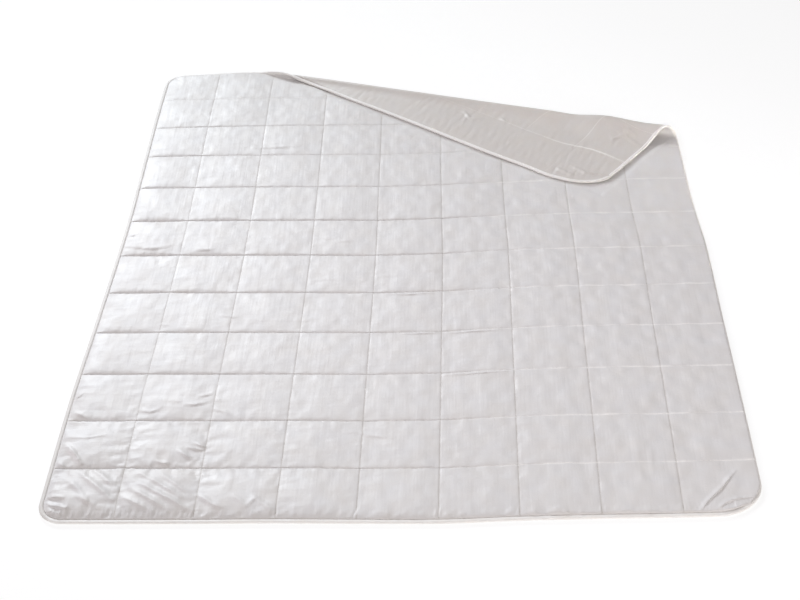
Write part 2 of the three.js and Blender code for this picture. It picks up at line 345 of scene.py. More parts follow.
# Slanting ripples of the underside: how high, how close, how they run, and where they start
FLAP_RIPPLE = 0.00020
FLAP_RIPPLE_WAVE = 0.018
FLAP_RIPPLE_SLANT = 0.37
FLAP_RIPPLE_LENGTHENING = 0.2
FLAP_RIPPLE_START = -0.45
FLAP_RIPPLE_REACH = 3 * CELL

# Paler lines of the underside, paler thread with a painted glint along its seams: how pale, how wide, then
# the columns and rows that they pass
PALE_THREAD_AND_GLINT_LINES = (
    (1.0, 0.0026, (7.40, 11.01), (8.10, 10.99), (8.97, 10.96)),
    (0.5, 0.0014, (6.40, 10.98), (7.00, 11.01), (7.40, 11.01)),
    (0.5, 0.0014, (8.00, 11.05), (8.00, 10.50), (8.00, 10.00)),
    (0.3, 0.0012, (7.00, 11.00), (7.00, 10.60), (7.00, 10.20)),
)

# How creases lean across and along, how they end, and the share of crown that they need beneath them
CREASE_LEAN = (1.0, -1.7)
CREASE_END = 0.12
CREASE_FOOT = 0.4

# How far the painted shade along the seams and the front edge reaches, how strong it is, and the paler thread
# with painted sheen of the rows at the right
COLUMN_SHADE = 0.0013
BACK_COLUMN_SHADE = 0.55
BACK_SHADE_REACH = 4 * CELL
ROW_SHADE = 0.0020
ROW_SHADE_SHARE = 0.4
FRONT_SHADE = 0.022
FRONT_SHADE_SHARE = 0.22
PALE_ROW = 0.0021
PALE_ROW_START = 0.05
PALE_ROW_END = 0.35
PALE_ROW_SHARE = 0.7
PALE_ROW_SPREAD = 0.4
PALE_ROW_WAVE = 0.06
WIDE_SHADE = 0.018
WIDE_SHADE_SHARE = 0.12

# Cloth colours: the face, the back, the binding, the painted shade and the paler thread with painted
# highlight along the seams, and the tint of warmer patches
FACE_COLOUR = (0.74, 0.73, 0.73, 1.0)
BACK_COLOUR = (0.67, 0.64, 0.615, 1.0)
EDGE_COLOUR = (0.91, 0.90, 0.885, 1.0)
PAINTED_SEAM_SHADE = (0.52, 0.49, 0.46, 1.0)
PALE_THREAD_AND_PAINTED_HIGHLIGHT = (0.97, 0.955, 0.93, 1.0)
WARM_PATCHES = (1.0, 0.98, 0.95, 1.0)

# Satin: least and most roughness, the spread of tones, and the sheen
FACE_ROUGHNESS = (0.44, 0.56)
BACK_ROUGHNESS = (0.36, 0.46)
EDGE_ROUGHNESS = (0.48, 0.58)
CLOTH_TONES = (0.93, 0.99)
SHEEN_WEIGHT = 0.2
SHEEN_ROUGHNESS = 0.4

# Grain of the satin: its scale across and along, and its turn in degrees
ALONG_SLUBS = (170.0, 8.0, 0.0)
ACROSS_SLUBS = (8.0, 220.0, 0.0)
SLANTED_GRAIN = (110.0, 16.0, 38.0)
CLOUDS = (13.0, 13.0, 0.0)
CRUMPLE = (55.0, 75.0, 20.0)
PATCHES = (21.0, 16.0, 0.0)
GRAIN_DETAIL = 3.0
USUAL_NOISE = (0.25, 0.75)

# How the grains add up, and the fine relief that they give
ACROSS_SLUB_SHARE = 0.7
CLOUD_SHARE = 1.0
SLANT_SHARE = 0.7
SLUB_SHARE = 0.6
RELIEF_STRENGTH = 0.6
RELIEF_HEIGHT = 0.0011

# Quilting stitches: their pitch and size, the spread of sizes, and the bead that each is made from
STITCH_PITCH = 0.0055
STITCH_LENGTH = 0.0046
ROW_THREAD_WIDTH = 0.0013
COLUMN_THREAD_WIDTH = 0.0007
STITCH_SIZES = (0.8, 1.15)
BEAD_SEGMENTS = 4
BEAD_RINGS = 3
BEAD_RADIUS = 0.5

# Thread: its two tones, the scale of its twist, and its roughness
DARK_THREAD = (0.80, 0.77, 0.74, 1.0)
PALE_THREAD = (0.92, 0.90, 0.87, 1.0)
TWIST_SCALE = 900.0
THREAD_ROUGHNESS = 0.7

# Mesh: divisions of the cells by column and by row, and the spacing beside a seam, which grows away from it
COLUMN_DIVISIONS = (60, 60, 46, 40, 40, 40, 40, 44, 72)
ROW_DIVISIONS = (60, 56, 44, 36, 36, 36, 32, 28, 28, 34, 46, 46)
SEAM_SPACING = 0.0014
SPACING_GROWTH = 0.3
COARSEST_SPACING = 1.5
SPACING_STEPS = 400

# Cloth simulation of the face, held along its seams and borne by a soft filling
SETTLE_DIVISIONS = 24
SETTLE_FRAMES = 12
CLOTH_SETTINGS = {
    "quality": 5,
    "mass": 0.3,
    "tension_stiffness": 15.0,
    "compression_stiffness": 15.0,
    "shear_stiffness": 5.0,
    "bending_model": "ANGULAR",
    "bending_stiffness": 1.0,
    "pin_stiffness": 2.0,
    "use_pressure": True,
    "uniform_pressure_force": 0.03,
    "shrink_min": -0.007,
    "shrink_max": -0.0002,
}
FILLING_HOLD = 0.06

# Where the cloth is slack: the share along the left side, how far it reaches, and in how many steps
LEFT_SLACK_SHARE = 0.02
SLACK_WIDTH = 4 * CELL
SLACK_LENGTH = 3 * CELL
SLACK_STEPS = 20

# How the cloth lies before it settles
FIRST_UNEVENNESS = 0.0001
FIRST_WAVE = 0.04
FIRST_BULGE = 0.003

# Seeds of the random draws
FILLING_SEED = 4
STITCH_SEED = 4
COLUMN_WALL_SEED = 5
ROW_WALL_SEED = 6
SWELL_SEED = 7
STREAK_SEED = 8
PUCKER_SEED = 9
RIPPLE_SEED = 10
PALE_ROW_SEED = 11
CLOTH_SEED = 12

# Camera, found from the quilting grid in the photograph
CAMERA_PLACE = (0.155, -3.552, 2.311)
CAMERA_AZIMUTH = math.radians(-2.913)
CAMERA_DOWN = math.radians(34.617)
CAMERA_ROLL = math.radians(-2.636)
FOCAL_PIXELS = 1683.8
PICTURE_WIDTH = 800
SENSOR_WIDTH = 36.0

# Floor: half its side, its colour, and the glow that keeps it white
FLOOR_HALF = 12.0
FLOOR_COLOUR = (0.3, 0.3, 0.3, 1.0)
FLOOR_ROUGHNESS = 0.8
FLOOR_SPECULAR = 0.1
GLOW_COLOUR = (1.0, 1.0, 1.0, 1.0)
GLOW_STRENGTH = 0.75

# Light from all round, and soft lights: name, place, aim, size, power, colour, and spread in degrees
SKY_COLOUR = (1.0, 0.956, 0.956, 1.0)
SKY_STRENGTH = 0.375
LIGHTS = (
    ("key", (-2.8, 6.2, 3.6), (-0.45, -1.00, 0), 2.4, 43.6, (0.882, 0.953, 1.0), 58),
    ("side", (-3.6, 0.2, 2.2), (0.90, -0.40, 0), 2.0, 7.8, (0.945, 0.895, 0.96), 40),
    ("front", (1.8, -3.8, 1.5), (0.8, -0.2, 0), 1.4, 54, (1.0, 0.955, 0.935), 180),
    ("right", (2.8, -1.6, 0.34), (0.70, 0.47, 0.02), 0.5, 0.6, (1.0, 0.95, 0.88), 14),
)


def smooth_step(share):
    share = np.clip(share, 0, 1)
    return share * share * (3 - 2 * share)


def blend(low, high, share):
    return low + (high - low) * share


def rightness_of(across):
    """How far to the right places lie, from nought at the left side to one at the right."""
    return smooth_step(across / WIDTH + 0.5)


def behind_front(along, reach):
    """How far behind the front edge places lie, from nought at it to one at a reach."""
    return smooth_step((along + LENGTH / 2) / reach)


def read_table(rows, column, place):
    """A table's column read at places, along a smooth curve through its rows."""
    rows = np.array(rows)
    at = rows[:, 0]
    level = rows[:, column]
    wide_at = np.concatenate([at[:1], at, at[-1:]])
    wide_level = np.concatenate([level[:1], level, level[-1:]])
    slope = (wide_level[2:] - wide_level[:-2]) / (wide_at[2:] - wide_at[:-2])
    place = np.clip(place, at[0], at[-1])
    row = np.clip(np.searchsorted(at, place, side="right") - 1, 0, len(at) - 2)
    step = at[row + 1] - at[row]
    share = (place - at[row]) / step
    leave = share * (1 - share) ** 2 * step
    arrive = share * share * (share - 1) * step
    between = blend(level[row], level[row + 1], smooth_step(share))
    return between + slope[row] * leave + slope[row + 1] * arrive


def soft_noise(across, along, wave, seed):
    """Smooth unevenness of about unit size, with a wave length in metres."""
    chance = np.random.default_rng(seed)
    total = np.zeros(np.broadcast(across, along).shape)
    for _ in range(NOISE_WAVES):
        heading = chance.uniform(0, 2 * math.pi)
        pace = 2 * math.pi / wave * chance.uniform(*NOISE_PACES)
        start = chance.uniform(0, 2 * math.pi)
        total += np.sin(pace * (across * math.cos(heading) + along * math.sin(heading)) + start)
    return total / math.sqrt(NOISE_WAVES / 2)


def seam_places(count, size):
    """Where the panel's edges and the seams run on one axis."""
    edge = size / 2 - PANEL_INSET
    seams = -size / 2 + size / count * np.arange(1, count)
    return np.concatenate([[-edge], seams, [edge]])


def ways_to_sewing(line, count, size):
    """The way from each mesh line of one axis to the nearest sewn seam."""
    return np.abs(line[:, None] - seam_places(count, size)[1:-1]).min(1)


def cell_lines(low, high, divisions):
    """Mesh lines of a cell from its low seam on, closer together near its seams."""
    place = np.linspace(low, high, SPACING_STEPS)
    from_seam = np.minimum(place - low, high - place)
    coarse = (high - low) / divisions * COARSEST_SPACING
    crowd = 1 / np.minimum(SEAM_SPACING + SPACING_GROWTH * from_seam, coarse)
    passed = np.concatenate([[0.0], np.cumsum((crowd[1:] + crowd[:-1]) / 2)])
    return np.interp(np.arange(divisions) / divisions * passed[-1], passed, place)


def mesh_lines(seams, divisions):
    """Mesh lines of one axis, and the way from each to the low and the high seam beside it."""
    lines = [cell_lines(low, high, count) for low, high, count in zip(seams[:-1], seams[1:], divisions)]
    from_low = [line - low for line, low in zip(lines, seams[:-1])]
    from_high = [high - line for line, high in zip(lines, seams[1:])]
    last_cell = seams[-1:] - seams[-2:-1]
    whole_line = np.concatenate(lines + [seams[-1:]])
    return whole_line, np.concatenate(from_low + [last_cell]), np.concatenate(from_high + [np.zeros(1)])


def cell_numbers(divisions):
    """The number of the cell that each mesh line of one axis belongs to."""
    return np.append(np.repeat(np.arange(len(divisions)), divisions), len(divisions) - 1)


def nearest_seams(from_low, from_high, divisions):
    """The number of each mesh line's nearest seam, the way to it, and if it is the low one of the two."""
    cell = cell_numbers(divisions)
    is_low = from_low <= from_high
    return np.where(is_low, cell, cell + 1), np.minimum(from_low, from_high), is_low


def wall_fall(place, seam, from_seam, rise, wobble, seed):
    """Share of the crown that is lost beside seams whose walls waver from place to place."""
    uneven = soft_noise(place, seam * SEAM_APART, PUCKER_WAVE, seed)
    return np.exp(-from_seam / (rise * np.clip(1 + wobble * uneven, LEAST_WOBBLE, MOST_WOBBLE)))


def dome(from_low, from_high):
    """Slow rise of the cells between their seams on one axis."""
    return 1 - CROWN_DOME + CROWN_DOME * np.sin(math.pi * from_low / (from_low + from_high))


def round_corners(across, along):
    """Points of the square panel moved inwards where its corners are round."""
    front = np.where(across < 0, FRONT_LEFT_RADIUS, FRONT_RIGHT_RADIUS)
    back = np.where(across < 0, BACK_LEFT_RADIUS, BACK_RIGHT_RADIUS)
    radius = np.where(along < 0, front, back) - PANEL_INSET
    side = np.sign(across)
    end = np.sign(along)
    centre_x = side * (WIDTH / 2 - PANEL_INSET - radius)
    centre_y = end * (LENGTH / 2 - PANEL_INSET - radius)
    off_x = across - centre_x
    off_y = along - centre_y
    in_corner = (off_x * side > 0) & (off_y * end > 0)
    reach = np.maximum(np.abs(off_x), np.abs(off_y))
    draw = np.where(in_corner, reach / np.maximum(np.hypot(off_x, off_y), SEAT_GAP), 1.0)
    rounded_x = np.where(in_corner, centre_x + off_x * draw, across)
    rounded_y = np.where(in_corner, centre_y + off_y * draw, along)
    return rounded_x, rounded_y


def lay_on_floor(across, along):
    """The flat panel laid on the floor, as uneven as it lies."""
    share = across / WIDTH + 0.5
    reach = along / LENGTH + 0.5
    left = read_table(SIDE_LAY, 1, along) * (1 - share) ** 2
    right = read_table(SIDE_LAY, 2, along) * share ** 2
    x = across + left + right
    y = along + read_table(SEAM_STRAY, 1, along)
    front = (1 - reach) * (1 - 2 * reach)
    middle = 4 * reach * (1 - reach)
    back = reach * (2 * reach - 1)
    for column, weight in enumerate((front, middle, back), start=1):
        x = x + read_table(COLUMN_LAY, column, across) * weight
        y = y + read_table(ROW_LAY, column, across) * weight
    return x, y


def curl_section(run, radius):
    """The way out and up after a run of cloth past the fold's start, and the sheet's angle."""
    full_turn = math.pi + FLAP_SLOPE
    drop = np.maximum(radius * (1 + math.cos(FLAP_SLOPE)) - FLAP_RISE, LEAST_DROP)
    slope_radius = drop / (1 - math.cos(FLAP_SLOPE))
    curled = np.clip(run / radius, 0, full_turn)
    sloped = np.clip((run - radius * full_turn) / slope_radius, 0, FLAP_SLOPE)
    level = np.maximum(run - radius * full_turn - slope_radius * FLAP_SLOPE, 0)
    remaining = FLAP_SLOPE - sloped
    way_back = slope_radius * (math.sin(FLAP_SLOPE) - np.sin(remaining))
    out = np.minimum(run, 0) + radius * np.sin(curled) - level - way_back
    up = radius * (1 - np.cos(curled)) - slope_radius * (np.cos(remaining) - math.cos(FLAP_SLOPE))
    return out, up, curled - sloped


def start_ease(along_fold):
    """Share of the cloth beyond the fold that curls over, at places along the fold."""
    return blend(START_SHARE, 1.0, smooth_step(along_fold / START_EASE))


def sheet_points(across, along):
    """The sheet's middle over flat points, its upward side, how far past the fold, and how settled there."""
    laid_x, laid_y = lay_on_floor(across, along)
    off_x = laid_x - FOLD_START[0]
    off_y = laid_y - FOLD_START[1]
    run_along = off_x * FOLD_ALONG[0] + off_y * FOLD_ALONG[1]
    past = off_x * FOLD_OUT[0] + off_y * FOLD_OUT[1]
    settled = smooth_step(past / FOLD_SETTLE)
    radius = read_table(CURL, 1, run_along / FOLD_LENGTH)
    run = past - FOLD_SLACK * settled
    out, up, angle = curl_section(np.where(run > 0, run * start_ease(run_along), run), radius)
    slide = run_along + settled * (FOLD_SHIFT + FOLD_SHEAR * past)
    x = FOLD_START[0] + slide * FOLD_ALONG[0] + out * FOLD_OUT[0]
    y = FOLD_START[1] + slide * FOLD_ALONG[1] + out * FOLD_OUT[1]
    lift = back_lift(across, along) * (1 - settled)
    middle = np.stack([x, y, SEAM_HEIGHT + up + lift], -1)
    lean = -np.sin(angle)
    normal = np.stack([lean * FOLD_OUT[0], lean * FOLD_OUT[1], np.cos(angle)], -1)
    return middle, normal, past, settled


def back_lift(across, along):
    """How far the back edge is raised beside the fold's start."""
    beside = (across - LIFT_PLACE) / LIFT_HALF
    hump = np.where(np.abs(beside) < 1, np.cos(math.pi / 2 * np.clip(beside, -1, 1)) ** 2, 0.0)
    return LIFT_HEIGHT * hump * smooth_step((along - LENGTH / 2 + LIFT_REACH) / LIFT_REACH)


def grid_faces(rows, columns):
    """Faces of a grid of points, which face up."""
    corner = np.arange(rows * columns).reshape(rows, columns)
    faces = np.stack([corner[:-1, :-1], corner[:-1, 1:], corner[1:, 1:], corner[1:, :-1]], -1)
    return faces.reshape(-1, 4)


def edge_ring(rows, columns):
    """The points round a grid's edge, with the grid on the left."""
    corner = np.arange(rows * columns).reshape(rows, columns)
    return np.concatenate([corner[0, :-1], corner[:-1, -1], corner[-1, :0:-1], corner[:0:-1, 0]])


def weigh(thing, name, weights):
    """A vertex group with a weight for each point."""
    group = thing.vertex_groups.new(name=name)
    for weight in np.unique(weights):
        group.add(np.flatnonzero(weights == weight).tolist(), float(weight), "REPLACE")
    return group.name


def settle_cloth(places, faces, held, tautness):
    """Lets the held sheet settle as cloth that the filling swells, and gives where its points end."""
    mesh = bpy.data.meshes.new("settling")
    mesh.from_pydata(places.tolist(), [], faces.tolist())
    cloth = bpy.data.objects.new("settling", mesh)
    bpy.context.scene.collection.objects.link(cloth)
    settling = cloth.modifiers.new("settling", "CLOTH")
    settings = settling.settings
    settings.vertex_group_mass = weigh(cloth, "held", held)
    settings.vertex_group_shrink = weigh(cloth, "taut", tautness)
    for name, setting in CLOTH_SETTINGS.items():
        setattr(settings, name, setting)
    settings.effector_weights.gravity = 0
    settling.collision_settings.use_collision = False
    settling.point_cache.frame_start = 1
    settling.point_cache.frame_end = SETTLE_FRAMES
    for moment in range(1, SETTLE_FRAMES + 1):
        bpy.context.scene.frame_set(moment)
    settled = cloth.evaluated_get(bpy.context.evaluated_depsgraph_get())
    ends = np.zeros(len(places) * 3)
    settled.to_mesh().vertices.foreach_get("co", ends)
    settled.to_mesh_clear()
    bpy.data.objects.remove(cloth)
    bpy.context.scene.frame_set(1)
    return ends.reshape(-1, 3)


def across_shares(across, along, ways):
    """Share of full crown beside the seams that run along."""
    seam, from_seam, is_low = nearest_seams(*ways, COLUMN_DIVISIONS)
    at_edge = (seam == 0) | (seam == COLUMNS)
    rightness = rightness_of(across)
    depth = np.where(at_edge, 1.0, blend(LEFT_ALONG_DEPTH, RIGHT_ALONG_DEPTH, rightness))
    edge_rises = blend(LEFT_EDGE_RISE, SIDE_EDGE_RISE, rightness)
    rise = np.where(at_edge, edge_rises, np.where(is_low, ALONG_LIT_RISE, ALONG_RISE))
    wobble = np.where(at_edge, EDGE_WOBBLE, COLUMN_WOBBLE)
    fall = wall_fall(along, seam + is_low / 2, from_seam, rise, wobble, COLUMN_WALL_SEED)
    return (1 - depth * fall) * dome(*ways)


def along_shares(across, along, ways, across_ways):
    """Share of full crown beside the seams that run across, whose walls are widest between the columns."""
    nearest = nearest_seams(*ways, ROW_DIVISIONS)
    seam, from_seam, is_low = (each[:, None] for each in nearest)
    rise = np.where(is_low, read_table(ROW_SEAMS, 2, across), read_table(ROW_SEAMS, 3, across))
    half_way = np.sin(math.pi * across_ways[0] / (across_ways[0] + across_ways[1]))
    rise = rise * blend(WALL_TAPER, 2 - WALL_TAPER, half_way)
    rise = np.where(seam == ROWS, SIDE_EDGE_RISE, rise)
    rise = np.where(seam == 0, read_table(FRONT_EDGE_RISE, 1, across), rise)
    at_edge = (seam == 0) | (seam == ROWS)
    depth = np.minimum(read_table(ROW_SEAMS, 1, across) * read_table(ROW_SEAM_SHARES, 1, along), 1)
    inner_wobble = blend(FRONT_ROW_WOBBLE, ROW_WOBBLE, behind_front(along, FRONT_WOBBLE_REACH))
    wobble = np.where(at_edge, EDGE_WOBBLE, inner_wobble)
    fall = wall_fall(across, seam + is_low / 2, from_seam, rise, wobble, ROW_WALL_SEED)
    return (1 - np.where(at_edge, 1.0, depth) * fall) * dome(*ways)[:, None]


def crown_heights(across, along, across_ways, along_ways):
    """Heights of the filled cells over the flat panel, filled a little unevenly."""
    filling = 1 + CROWN_SPREAD * soft_noise(across, along, FILLING_WAVE, FILLING_SEED)
    rightness = rightness_of(across)
    shares = across_shares(across, along, across_ways) * along_shares(across, along, along_ways, across_ways)
    frontness = 1 - behind_front(along, CELL)
    swell = 1 + FRONT_EDGE_SWELL * frontness * (1 - rightness)
    return FACE_CROWN * filling * shares * blend(1.0, RIGHT_CROWN, rightness) * swell


def crease_relief(across, along, height, width, *spots):
    """A soft ridge along a line of columns and rows."""
    path = np.array(spots) * CELL - np.array([WIDTH, LENGTH]) / 2
    legs = path[1:] - path[:-1]
    lengths = np.linalg.norm(legs, axis=1)
    passed = np.cumsum(lengths) - lengths
    nearest = np.full(across.shape, np.inf)
    way = np.zeros(across.shape)
    for start, leg, length, before in zip(path[:-1], legs, lengths, passed):
        share = ((across - start[0]) * leg[0] + (along - start[1]) * leg[1]) / length ** 2
        share = np.clip(share, 0, 1)
        off = np.hypot(across - start[0] - share * leg[0], along - start[1] - share * leg[1])
        nearer = off < nearest
        nearest = np.where(nearer, off, nearest)
        way = np.where(nearer, before + share * length, way)
    taper = np.sin(math.pi * blend(CREASE_END, 1 - CREASE_END, way / lengths.sum()))
    return height * taper * np.exp(-(nearest / width) ** 2)


def creases(table, across, along):
    """The relief of a table of creases."""
    relief = np.zeros(across.shape)
    for crease in table:
        relief += crease_relief(across, along, *crease)
    return relief


def flap_ripples(across, along):
    """Slanting ripples of the underside, which fade towards the fold's start."""
    size = FLAP_RIPPLE * smooth_step((across - FLAP_RIPPLE_START) / FLAP_RIPPLE_REACH)
    slant = across - FLAP_RIPPLE_SLANT * along
    return size * soft_noise(slant, along * FLAP_RIPPLE_LENGTHENING, FLAP_RIPPLE_WAVE, RIPPLE_SEED)


def swells(across, along):
    """Soft swells and faint streaks of the face."""
    soft = SWELL_HEIGHT * soft_noise(across, along, SWELL_WAVE, SWELL_SEED)
    streaks = STREAK_HEIGHT * soft_noise(across, along * STREAK_LENGTHENING, STREAK_WAVE, STREAK_SEED)
    return soft * blend(1.0, RIGHT_SWELL, rightness_of(across)) + streaks


def edge_rise(across, along):
    """How much thicker than a seam the panel is along its edge, where it meets the binding."""
    inside = np.minimum(WIDTH / 2 - np.abs(across), LENGTH / 2 - np.abs(along)) - PANEL_INSET
    return (EDGE_HALF - SEAM_HALF) * np.exp(-inside / EDGE_REACH)


def overhang(across):
    """How far the face swells out over the binding along the right side."""
    inside = WIDTH / 2 - PANEL_INSET - across
    return OVERHANG * (1 - np.exp(-inside / OVERHANG_START)) * np.exp(-inside / OVERHANG_REACH)


def front_puckers(across, along):
    """Close gathers where the face turns down to the front edge."""
    from_edge = along + LENGTH / 2 - PANEL_INSET
    band = np.exp(-((from_edge - FRONT_PUCKER_PLACE) / FRONT_PUCKER_REACH) ** 2)
    band = band * smooth_step(from_edge / FRONT_PUCKER_PLACE)
    size = blend(FRONT_PUCKER_HEIGHT, RIGHT_PUCKER_HEIGHT, rightness_of(across))
    return size * band * soft_noise(across, along * STREAK_LENGTHENING, FRONT_PUCKER_WAVE, PUCKER_SEED)


def painted_face_shading(across, along, from_columns, from_rows):
    """How much painted shade the face takes on along the seams and the front edge, or below nought how much
    paler thread and painted sheen along the rows at the right.
    """
    rightness = rightness_of(across)
    # Painted shade along the seams across, strongest at the left
    sewn = np.minimum(read_table(ROW_SEAM_SHARES, 1, along), 1)
    rows = blend(ROW_SHADE_SHARE, 0.0, rightness) * sewn * np.exp(-from_rows / ROW_SHADE)
    # Painted shade along the seams along, weaker towards the back left
    back_left = behind_front(along, BACK_SHADE_REACH) * (1 - rightness)
    columns = blend(1.0, BACK_COLUMN_SHADE, back_left) * np.exp(-from_columns / COLUMN_SHADE)
    # A broad painted warm shade towards every seam
    wide = WIDE_SHADE_SHARE * np.exp(-np.minimum(from_columns, from_rows) / WIDE_SHADE)
    # Painted shade on the wall down to the front edge, at the left
    from_front = along + LENGTH / 2 - PANEL_INSET
    front = FRONT_SHADE_SHARE * (1 - rightness) * np.exp(-(from_front / FRONT_SHADE) ** 2)
    dark = np.maximum(np.maximum(columns, rows), np.maximum(wide, front))
    # Paler thread and a painted sheen along the rows at the right
    drawn = smooth_step((across - PALE_ROW_START) / (PALE_ROW_END - PALE_ROW_START))
    uneven = PALE_ROW_SPREAD * soft_noise(across, along, PALE_ROW_WAVE, PALE_ROW_SEED)
    drawn = drawn * np.clip(PALE_ROW_SHARE + uneven, 0, 1)
    return dark - drawn * np.exp(-from_rows / PALE_ROW)


def underside_thread_and_painted_glint(across, along):
    """How much paler thread and painted glint the underside takes on along its seams, below nought."""
    return -creases(PALE_THREAD_AND_GLINT_LINES, across, along)


def under_flap(x, y, past):
    """How much the flap presses on the laid points, from nought before its edge to one."""
    along_fold = (x - FOLD_START[0]) * FOLD_ALONG[0] + (y - FOLD_START[1]) * FOLD_ALONG[1]
    over = math.pi * read_table(CURL, 1, along_fold / FOLD_LENGTH) - past
    beyond = over / start_ease(along_fold) + FOLD_SLACK
    unslid = along_fold - FOLD_SHIFT - FOLD_SHEAR * beyond
    unfolded_x = FOLD_START[0] + unslid * FOLD_ALONG[0] + beyond * FOLD_OUT[0]
    unfolded_y = FOLD_START[1] + unslid * FOLD_ALONG[1] + beyond * FOLD_OUT[1]
    inside = np.minimum(WIDTH / 2 - unfolded_x, LENGTH / 2 - unfolded_y)
    return smooth_step((inside + PRESS_BEFORE) / PRESS_REACH) * (past < 0)


def taut_shares(across, along):
    """How taut the face is: least of all towards the front left corner, where it has cloth to spare."""
    leftness = 1 - smooth_step((across + WIDTH / 2) / SLACK_WIDTH)
    frontness = 1 - behind_front(along, SLACK_LENGTH)
    spare = leftness * blend(LEFT_SLACK_SHARE, 1.0, frontness)
    return 1 - np.round(spare * SLACK_STEPS) / SLACK_STEPS


def smooth_read(levels, places):
    """Rows of evenly spaced levels read at places between them, along a smooth curve."""
    row = np.clip(np.floor(places).astype(int), 0, len(levels) - 2)
    share = (places - row)[:, None, None]
    before = levels[np.maximum(row - 1, 0)]
    low = levels[row]
    high = levels[row + 1]
    after = levels[np.minimum(row + 2, len(levels) - 1)]
    leave = (high - before) / 2 * share * (1 - share) ** 2
    arrive = (after - low) / 2 * share * share * (share - 1)
    return blend(low, high, smooth_step(share)) + leave + arrive


def settle_places(from_low, from_high, divisions):
    """Where the mesh lines of one axis lie among the lines of the settling cloth."""
    return (cell_numbers(divisions) + from_low / (from_low + from_high)) * SETTLE_DIVISIONS


def quilted_face():
    """The settled face: its places on the flat panel, how its points move, the plain crown, and its tones of
    painted shading.
    """
    across_line, *across_ways = mesh_lines(seam_places(COLUMNS, WIDTH), COLUMN_DIVISIONS)
    along_line, *along_ways = mesh_lines(seam_places(ROWS, LENGTH), ROW_DIVISIONS)
    across, along = np.meshgrid(across_line, along_line)
    heights = crown_heights(across, along, across_ways, along_ways)
    flat_x, flat_y = round_corners(across, along)
    flat = np.stack([flat_x, flat_y], -1)
    moved = np.concatenate([np.zeros_like(flat), heights[..., None]], -1)
    columns_at = settle_places(*across_ways, COLUMN_DIVISIONS)
    rows_at = settle_places(*along_ways, ROW_DIVISIONS)
    by_row = smooth_read(settled_shifts(), rows_at)
    moved += smooth_read(by_row.swapaxes(0, 1), columns_at).swapaxes(0, 1)
    foot = smooth_step(heights / (CREASE_FOOT * FACE_CROWN))
    folded = creases(CREASES, flat_x, flat_y) * foot
    moved[..., 0] += CREASE_LEAN[0] * folded + overhang(across)
    moved[..., 1] += CREASE_LEAN[1] * folded
    moved[..., 2] += folded + swells(across, along) * foot
    moved[..., 2] += edge_rise(across, along) + front_puckers(across, along)
    from_columns = ways_to_sewing(across_line, COLUMNS, WIDTH)[None]
    from_rows = ways_to_sewing(along_line, ROWS, LENGTH)[:, None]
    tones = np.stack([
        painted_face_shading(across, along, from_columns, from_rows),
        underside_thread_and_painted_glint(flat_x, flat_y),
    ])
    return flat, moved, heights, tones


def settled_shifts():
    """How far the face moves from its plain crown as it settles as cloth held along its seams."""
    columns = seam_places(COLUMNS, WIDTH)
    rows = seam_places(ROWS, LENGTH)
    share = np.arange(SETTLE_DIVISIONS) / SETTLE_DIVISIONS
    across_line = np.append(blend(columns[:-1, None], columns[1:, None], share), columns[-1])
    along_line = np.append(blend(rows[:-1, None], rows[1:, None], share), rows[-1])
    across, along = np.meshgrid(across_line, along_line)
    on_column = np.arange(len(across_line)) % SETTLE_DIVISIONS == 0
    on_row = np.arange(len(along_line)) % SETTLE_DIVISIONS == 0
    seam = on_column[None] | on_row[:, None]
    rough = FIRST_UNEVENNESS * soft_noise(across, along, FIRST_WAVE, CLOTH_SEED) * ~seam
    bulge = np.sin(math.pi * np.append(np.tile(share, COLUMNS), 0))[None]
    bulge = FIRST_BULGE * bulge * np.sin(math.pi * np.append(np.tile(share, ROWS), 0))[:, None]
    first = np.stack([across, along, bulge + rough], -1)
    held = np.where(seam, 1.0, FILLING_HOLD).ravel()
    tautness = taut_shares(across, along).ravel()
    ends = settle_cloth(first.reshape(-1, 3), grid_faces(*across.shape), held, tautness)
    return ends.reshape(first.shape) - np.stack([across, along, bulge], -1)


def plain_mesh(name, points, faces, material):
    """A smooth mesh piece with its place in its vertices."""
    mesh = bpy.data.meshes.new(name)
    mesh.from_pydata(points.tolist(), [], faces.tolist())
    mesh.polygons.foreach_set("use_smooth", np.ones(len(mesh.polygons), bool))
    mesh.materials.append(material)
    piece = bpy.data.objects.new(name, mesh)
    bpy.context.scene.collection.objects.link(piece)
    return piece


def remember_flat(piece, flat, tones):
    """Keeps each point's place on the flat cloth and its painted shading by the seams and edges, which the
    material reads.
    """
    kept = piece.data.attributes.new("flat", "FLOAT_VECTOR", "POINT")
    kept.data.foreach_set("vector", np.ascontiguousarray(flat, np.float32).ravel())
    # The seam attribute holds painted shade and painted highlights
    near = piece.data.attributes.new("seam", "FLOAT", "POINT")
    near.data.foreach_set("value", np.ascontiguousarray(tones, np.float32).ravel())


def quilt_points(flat, moved, heights):
    """Points of the quilt's face and underside, in the laid and folded shape."""
    face_place = flat + moved[..., :2]
    middle, normal, past, settled = sheet_points(face_place[..., 0], face_place[..., 1])
    squeezed = smooth_step((past + SQUEEZE_BEFORE) / (SQUEEZE_BEFORE + SQUEEZE_PAST))
    pressed = under_flap(middle[..., 0], middle[..., 1], past)
    share = blend(1.0, FLAP_FACE_SHARE, squeezed) * blend(1.0, PRESSED_CROWN, pressed)
    above = middle + normal * (SEAM_HALF + moved[..., 2] * share)[..., None]
    back_place = flat + moved[..., :2] * settled[..., None]
    middle, normal, _, settled = sheet_points(back_place[..., 0], back_place[..., 1])
    on_floor = UNDERSIDE_CROWN * np.minimum(heights / FLAT_CROWN, 1)
    on_flap = heights * FLAP_UNDERSIDE_SHARE + creases(FLAP_CREASES, flat[..., 0], flat[..., 1])
    on_flap += flap_ripples(flat[..., 0], flat[..., 1])
    underside = SEAM_HALF + blend(on_floor, on_flap, settled)
    below = middle - normal * underside[..., None]
    return above, below


